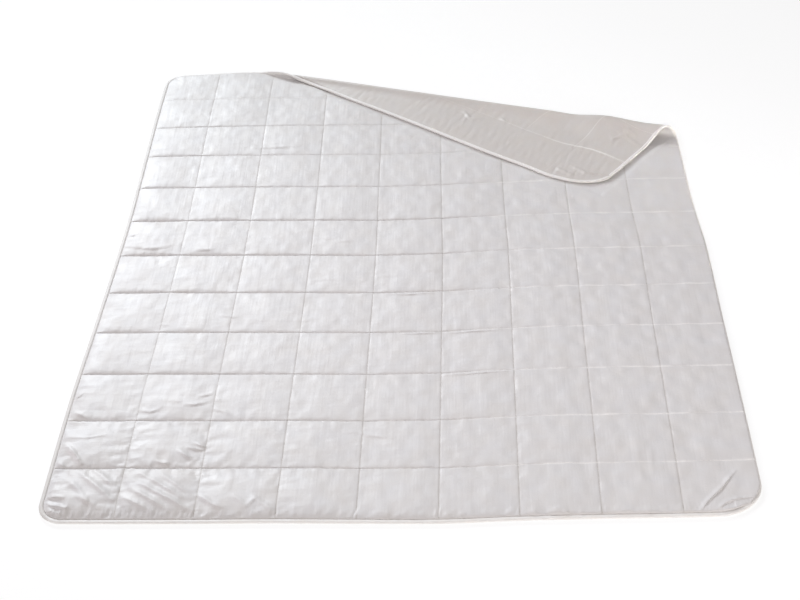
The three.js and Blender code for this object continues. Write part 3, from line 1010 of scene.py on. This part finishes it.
def quilt_piece(flat, above, below, tones, origin, material):
    """The filled quilt: its face and underside, closed along the panel's edge."""
    rows, columns = tones.shape[1:]
    count = rows * columns
    points = np.concatenate([above.reshape(-1, 3), below.reshape(-1, 3)]) - origin
    upper = grid_faces(rows, columns)
    ring = edge_ring(rows, columns)
    after = np.roll(ring, -1)
    wall = np.stack([ring, ring + count, after + count, after], -1)
    piece = plain_mesh("quilt", points, np.concatenate([upper, upper[:, ::-1] + count, wall]), material)
    layer = np.concatenate([flat.reshape(-1, 2), np.zeros((count, 1))], -1)
    remember_flat(piece, np.concatenate([layer, layer + np.array([0.0, 0.0, 1.0])]), tones)
    return piece


def binding_points(flat):
    """Rings of points round the binding's oval section, along the panel's edge."""
    rows, columns = flat.shape[:2]
    edge = flat.reshape(-1, 2)[edge_ring(rows, columns)]
    middle, normal, _, _ = sheet_points(edge[:, 0], edge[:, 1])
    ahead = np.roll(middle, -1, 0) - np.roll(middle, 1, 0)
    outward = np.cross(ahead, normal)
    outward /= np.linalg.norm(outward, axis=1)[:, None]
    turn = 2 * math.pi * (np.arange(BINDING_SIDES) + 0.5) / BINDING_SIDES
    out = SEAT_GAP + BINDING_WIDTH / 2 * (1 + np.cos(turn))
    up = BINDING_HEIGHT / 2 * np.sign(np.sin(turn)) * np.abs(np.sin(turn)) ** BINDING_SQUARENESS
    return middle[:, None] + outward[:, None] * out[:, None] + normal[:, None] * up[:, None]


def binding_piece(rings, origin, material):
    """The binding as one closed strip."""
    count, sides = rings.shape[:2]
    point = np.arange(count * sides).reshape(count, sides)
    ahead = np.roll(point, -1, 0)
    faces = np.stack([point, ahead, np.roll(ahead, -1, 1), np.roll(point, -1, 1)], -1).reshape(-1, 4)
    piece = plain_mesh("edge_binding", rings.reshape(-1, 3) - origin, faces, material)
    steps = np.linalg.norm(np.diff(rings[:, 0], axis=0, prepend=rings[:1, 0]), axis=1)
    way = np.cumsum(steps)[:, None]
    round_it = np.arange(sides)[None] / sides * (BINDING_WIDTH + BINDING_HEIGHT) * math.pi / 2
    flat = np.stack(np.broadcast_arrays(way, round_it, 0.0), -1)
    # Painted shade along the binding's left side
    shade = LEFT_BINDING_SHADE * smooth_step((LEFT_BINDING_PLACE - rings[..., 0]) / BINDING_WIDTH)
    remember_flat(piece, flat.reshape(-1, 3), shade)
    return piece


def seam_lines(points, divisions):
    """Points of the sewn seams on one side of the quilt, seam by seam."""
    return [points[row] for row in np.cumsum(divisions)[:-1]]


def stitch_tree(thread):
    """Node tree that sets stitches along seams."""
    tree = bpy.data.node_groups.new("stitches", "GeometryNodeTree")
    tree.interface.new_socket("Seams", in_out="INPUT", socket_type="NodeSocketGeometry")
    for name in ("Pitch", "Stitch length", "Thread width"):
        tree.interface.new_socket(name, in_out="INPUT", socket_type="NodeSocketFloat")
    tree.interface.new_socket("Seed", in_out="INPUT", socket_type="NodeSocketInt")
    tree.interface.new_socket("Stitches", in_out="OUTPUT", socket_type="NodeSocketGeometry")
    given = tree.nodes.new("NodeGroupInput").outputs
    result = tree.nodes.new("NodeGroupOutput")
    curve = add_node(tree, "GeometryNodeMeshToCurve", {"Mesh": given["Seams"]})
    spaced = add_node(tree, "GeometryNodeResampleCurve", {
        "Curve": curve.outputs[0],
        "Length": given["Pitch"],
    }, mode="LENGTH")
    bead = add_node(tree, "GeometryNodeMeshUVSphere", {
        "Segments": BEAD_SEGMENTS,
        "Rings": BEAD_RINGS,
        "Radius": BEAD_RADIUS,
    })
    size = add_node(tree, "ShaderNodeCombineXYZ", {
        "X": given["Thread width"],
        "Y": given["Thread width"],
        "Z": given["Stitch length"],
    })
    stitch = add_node(tree, "GeometryNodeTransform", {
        "Geometry": bead.outputs["Mesh"],
        "Scale": size.outputs[0],
    })
    ahead = tree.nodes.new("GeometryNodeInputTangent")
    turn = add_node(tree, "FunctionNodeAlignRotationToVector", {"Vector": ahead.outputs[0]}, axis="Z")
    vary = add_node(tree, "FunctionNodeRandomValue", {
        2: STITCH_SIZES[0],
        3: STITCH_SIZES[1],
        "Seed": given["Seed"],
    }, data_type="FLOAT")
    sewn = add_node(tree, "GeometryNodeInstanceOnPoints", {
        "Points": spaced.outputs[0],
        "Instance": stitch.outputs[0],
        "Rotation": turn.outputs[0],
        "Scale": vary.outputs[1],
    })
    real = add_node(tree, "GeometryNodeRealizeInstances", {"Geometry": sewn.outputs[0]})
    dressed = add_node(tree, "GeometryNodeSetMaterial", {"Geometry": real.outputs[0], "Material": thread})
    tree.links.new(dressed.outputs[0], result.inputs[0])
    return tree


def stitch_piece(name, lines, width, origin, thread):
    """The quilting stitches along some of the seams, as one plain mesh."""
    starts = np.cumsum([0] + [len(line) for line in lines])
    edges = []
    for low, high in zip(starts[:-1], starts[1:]):
        edges += [(point, point + 1) for point in range(low, high - 1)]
    guide_mesh = bpy.data.meshes.new("seam_guide")
    guide_mesh.from_pydata((np.concatenate(lines) - origin).tolist(), edges, [])
    guide = bpy.data.objects.new("seam_guide", guide_mesh)
    bpy.context.scene.collection.objects.link(guide)
    sewing = guide.modifiers.new("stitches", "NODES")
    sewing.node_group = stitch_tree(thread)
    settings = {
        "Pitch": STITCH_PITCH,
        "Stitch length": STITCH_LENGTH,
        "Thread width": width,
        "Seed": STITCH_SEED,
    }
    for socket in sewing.node_group.interface.items_tree:
        if socket.name in settings:
            sewing[socket.identifier] = settings[socket.name]
    made = guide.evaluated_get(bpy.context.evaluated_depsgraph_get())
    mesh = bpy.data.meshes.new_from_object(made)
    mesh.name = name
    piece = bpy.data.objects.new(name, mesh)
    bpy.context.scene.collection.objects.link(piece)
    bpy.data.objects.remove(guide)
    return piece


def add_node(tree, kind, inputs, **settings):
    """A node with its settings, and its inputs given as values or as other nodes' outputs."""
    node = tree.nodes.new(kind)
    for name, setting in settings.items():
        setattr(node, name, setting)
    for name, source in inputs.items():
        if isinstance(source, bpy.types.NodeSocket):
            tree.links.new(source, node.inputs[name])
        else:
            node.inputs[name].default_value = source
    return node


def grain(tree, place, kind):
    """A noise drawn out over the cloth's own plane, as the output of its node."""
    across, along, turn = kind
    spread = add_node(tree, "ShaderNodeMapping", {
        "Vector": place,
        "Scale": (across, along, 1.0),
        "Rotation": (0.0, 0.0, math.radians(turn)),
    })
    noise = add_node(tree, "ShaderNodeTexNoise", {
        "Vector": spread.outputs[0],
        "Scale": 1.0,
        "Detail": GRAIN_DETAIL,
    })
    return noise.outputs["Fac"]


def ranged(tree, source, low, high):
    """A noise's usual range drawn out to a range of values."""
    node = add_node(tree, "ShaderNodeMapRange", {
        "Value": source,
        "From Min": USUAL_NOISE[0],
        "From Max": USUAL_NOISE[1],
        "To Min": low,
        "To Max": high,
    })
    return node.outputs[0]


def mixed_colour(tree, share, low, high, way="MIX"):
    """Two colours mixed by a share."""
    node = add_node(tree, "ShaderNodeMix", {0: share, 6: low, 7: high}, data_type="RGBA", blend_type=way)
    return node.outputs[2]


def product_of(tree, first, second):
    """Two sources multiplied."""
    return add_node(tree, "ShaderNodeMath", {0: first, 1: second}, operation="MULTIPLY").outputs[0]


def sum_of(tree, first, second, share):
    """One source plus a share of another."""
    node = add_node(tree, "ShaderNodeMath", {0: second, 1: share, 2: first}, operation="MULTIPLY_ADD")
    return node.outputs[0]


def new_material(name):
    """A material, its node tree and its shader."""
    material = bpy.data.materials.new(name)
    material.use_nodes = True
    return material, material.node_tree, material.node_tree.nodes["Principled BSDF"]


def cloth_colour(tree, place, is_back, face, back):
    """The colours of both sides in warmer and cooler patches, darker with painted shade along the seams and
    edges, and paler with thread and painted highlight along some seams.
    """
    near = add_node(tree, "ShaderNodeAttribute", {}, attribute_name="seam").outputs["Fac"]
    patches = ranged(tree, grain(tree, place, PATCHES), 0.0, 1.0)
    plain = mixed_colour(tree, is_back, face, back)
    cloth = mixed_colour(tree, patches, plain, WARM_PATCHES, "MULTIPLY")
    # Mixes in the painted shade, then the paler thread with painted highlight
    darker = mixed_colour(tree, near, cloth, PAINTED_SEAM_SHADE)
    return mixed_colour(tree, product_of(tree, near, -1.0), darker, PALE_THREAD_AND_PAINTED_HIGHLIGHT)


def cloth_relief(tree, place, is_back, slubs):
    """Fine crumples and slubs, and a slanted grain on the back."""
    crumple = grain(tree, place, CRUMPLE)
    slanted = product_of(tree, grain(tree, place, SLANTED_GRAIN), is_back)
    relief = sum_of(tree, sum_of(tree, crumple, slanted, SLANT_SHARE), slubs, SLUB_SHARE)
    bump = add_node(tree, "ShaderNodeBump", {
        "Height": relief,
        "Strength": RELIEF_STRENGTH,
        "Distance": RELIEF_HEIGHT,
    })
    return bump.outputs["Normal"]


def satin_material(name, face, back, face_roughness, back_roughness):
    """Ivory satin with slubs and crumples, and another back."""
    material, tree, shader = new_material(name)
    place = add_node(tree, "ShaderNodeAttribute", {}, attribute_name="flat").outputs["Vector"]
    is_back = add_node(tree, "ShaderNodeSeparateXYZ", {"Vector": place}).outputs["Z"]
    clouds = grain(tree, place, CLOUDS)
    along_slubs = grain(tree, place, ALONG_SLUBS)
    slubs = sum_of(tree, along_slubs, grain(tree, place, ACROSS_SLUBS), ACROSS_SLUB_SHARE)
    tone = ranged(tree, sum_of(tree, slubs, clouds, CLOUD_SHARE), *CLOTH_TONES)
    colour = cloth_colour(tree, place, is_back, face, back)
    toned = add_node(tree, "ShaderNodeHueSaturation", {"Color": colour, "Value": tone})
    tree.links.new(toned.outputs[0], shader.inputs["Base Color"])
    roughness = add_node(tree, "ShaderNodeMix", {
        0: is_back,
        2: ranged(tree, clouds, *face_roughness),
        3: ranged(tree, clouds, *back_roughness),
    }, data_type="FLOAT")
    tree.links.new(roughness.outputs[0], shader.inputs["Roughness"])
    tree.links.new(cloth_relief(tree, place, is_back, slubs), shader.inputs["Normal"])
    shader.inputs["Sheen Weight"].default_value = SHEEN_WEIGHT
    shader.inputs["Sheen Roughness"].default_value = SHEEN_ROUGHNESS
    return material


def thread_material():
    """Matt sewing thread with a slight twist."""
    material, tree, shader = new_material("sewing_thread")
    place = add_node(tree, "ShaderNodeTexCoord", {}).outputs["Object"]
    twist = add_node(tree, "ShaderNodeTexNoise", {"Vector": place, "Scale": TWIST_SCALE})
    colour = mixed_colour(tree, twist.outputs["Fac"], DARK_THREAD, PALE_THREAD)
    tree.links.new(colour, shader.inputs["Base Color"])
    shader.inputs["Roughness"].default_value = THREAD_ROUGHNESS
    return material


def floor_material():
    """A pale floor that glows a little."""
    material, _, shader = new_material("pale_floor")
    shader.inputs["Base Color"].default_value = FLOOR_COLOUR
    shader.inputs["Roughness"].default_value = FLOOR_ROUGHNESS
    shader.inputs["Specular IOR Level"].default_value = FLOOR_SPECULAR
    shader.inputs["Emission Color"].default_value = GLOW_COLOUR
    shader.inputs["Emission Strength"].default_value = GLOW_STRENGTH
    return material


def add_camera(origin):
    """The photograph's camera."""
    forward = Vector((
        math.sin(CAMERA_AZIMUTH) * math.cos(CAMERA_DOWN),
        math.cos(CAMERA_AZIMUTH) * math.cos(CAMERA_DOWN),
        -math.sin(CAMERA_DOWN),
    ))
    level = forward.cross(Vector((0, 0, 1))).normalized()
    upright = level.cross(forward)
    right = level * math.cos(CAMERA_ROLL) + upright * math.sin(CAMERA_ROLL)
    up = upright * math.cos(CAMERA_ROLL) - level * math.sin(CAMERA_ROLL)
    lens = bpy.data.cameras.new("camera")
    lens.sensor_fit = "HORIZONTAL"
    lens.sensor_width = SENSOR_WIDTH
    lens.lens = FOCAL_PIXELS / PICTURE_WIDTH * SENSOR_WIDTH
    lens.dof.use_dof = False
    camera = bpy.data.objects.new("camera", lens)
    turn = Matrix((right, up, -forward)).transposed().to_4x4()
    camera.matrix_world = Matrix.Translation(Vector(CAMERA_PLACE) - Vector(origin)) @ turn
    bpy.context.scene.collection.objects.link(camera)
    bpy.context.scene.camera = camera


def add_light(name, place, aim, size, power, colour, spread):
    """A soft square light that looks at a point."""
    light = bpy.data.lights.new(name, "AREA")
    light.size = size
    light.energy = power
    light.color = colour
    light.spread = math.radians(spread)
    lamp = bpy.data.objects.new(name, light)
    lamp.location = place
    lamp.rotation_euler = (Vector(aim) - Vector(place)).to_track_quat("-Z", "Y").to_euler()
    bpy.context.scene.collection.objects.link(lamp)


def add_floor():
    """The floor that the duvet lies on."""
    half = FLOOR_HALF
    corners = [(-half, -half, 0), (half, -half, 0), (half, half, 0), (-half, half, 0)]
    mesh = bpy.data.meshes.new("floor")
    mesh.from_pydata(corners, [], [(0, 1, 2, 3)])
    mesh.materials.append(floor_material())
    floor = bpy.data.objects.new("floor", mesh)
    bpy.context.scene.collection.objects.link(floor)


def add_sky():
    """Even light from all round."""
    world = bpy.data.worlds.new("studio")
    world.use_nodes = True
    sky = world.node_tree.nodes["Background"]
    sky.inputs["Color"].default_value = SKY_COLOUR
    sky.inputs["Strength"].default_value = SKY_STRENGTH
    bpy.context.scene.world = world


def add_studio():
    """A pale floor and soft light, strongest from the back left."""
    add_floor()
    add_sky()
    for light in LIGHTS:
        add_light(*light)
    bpy.context.scene.view_settings.view_transform = "Standard"


def part_origin(rings):
    """The middle of the binding's box, on the floor."""
    lowest = rings.reshape(-1, 3).min(0)
    highest = rings.reshape(-1, 3).max(0)
    return np.array([(lowest[0] + highest[0]) / 2, (lowest[1] + highest[1]) / 2, 0.0])


def tie(piece, node):
    """Ties a finished piece to the part."""
    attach(piece, "root")
    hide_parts(node)


flat, moved, heights, tones = quilted_face()
above, below = quilt_points(flat, moved, heights)
rings = binding_points(flat)
origin = part_origin(rings)
quilt_satin = satin_material("quilt_satin", FACE_COLOUR, BACK_COLOUR, FACE_ROUGHNESS, BACK_ROUGHNESS)
edge_satin = satin_material("edge_satin", EDGE_COLOUR, EDGE_COLOUR, EDGE_ROUGHNESS, EDGE_ROUGHNESS)
quilt = quilt_piece(flat, above, below, tones, origin, quilt_satin)
binding = binding_piece(rings, origin, edge_satin)
row_seams = []
column_seams = []
for side in (above, below):
    row_seams += seam_lines(side, ROW_DIVISIONS)
    column_seams += seam_lines(side.swapaxes(0, 1), COLUMN_DIVISIONS)
thread = thread_material()
stitches = (
    stitch_piece("row_stitches", row_seams, ROW_THREAD_WIDTH, origin, thread),
    stitch_piece("column_stitches", column_seams, COLUMN_THREAD_WIDTH, origin, thread),
)
add_camera(origin)
add_studio()
tie(quilt, "duvet")
tie(binding, "binding")
for sewn in stitches:
    tie(sewn, "duvet")
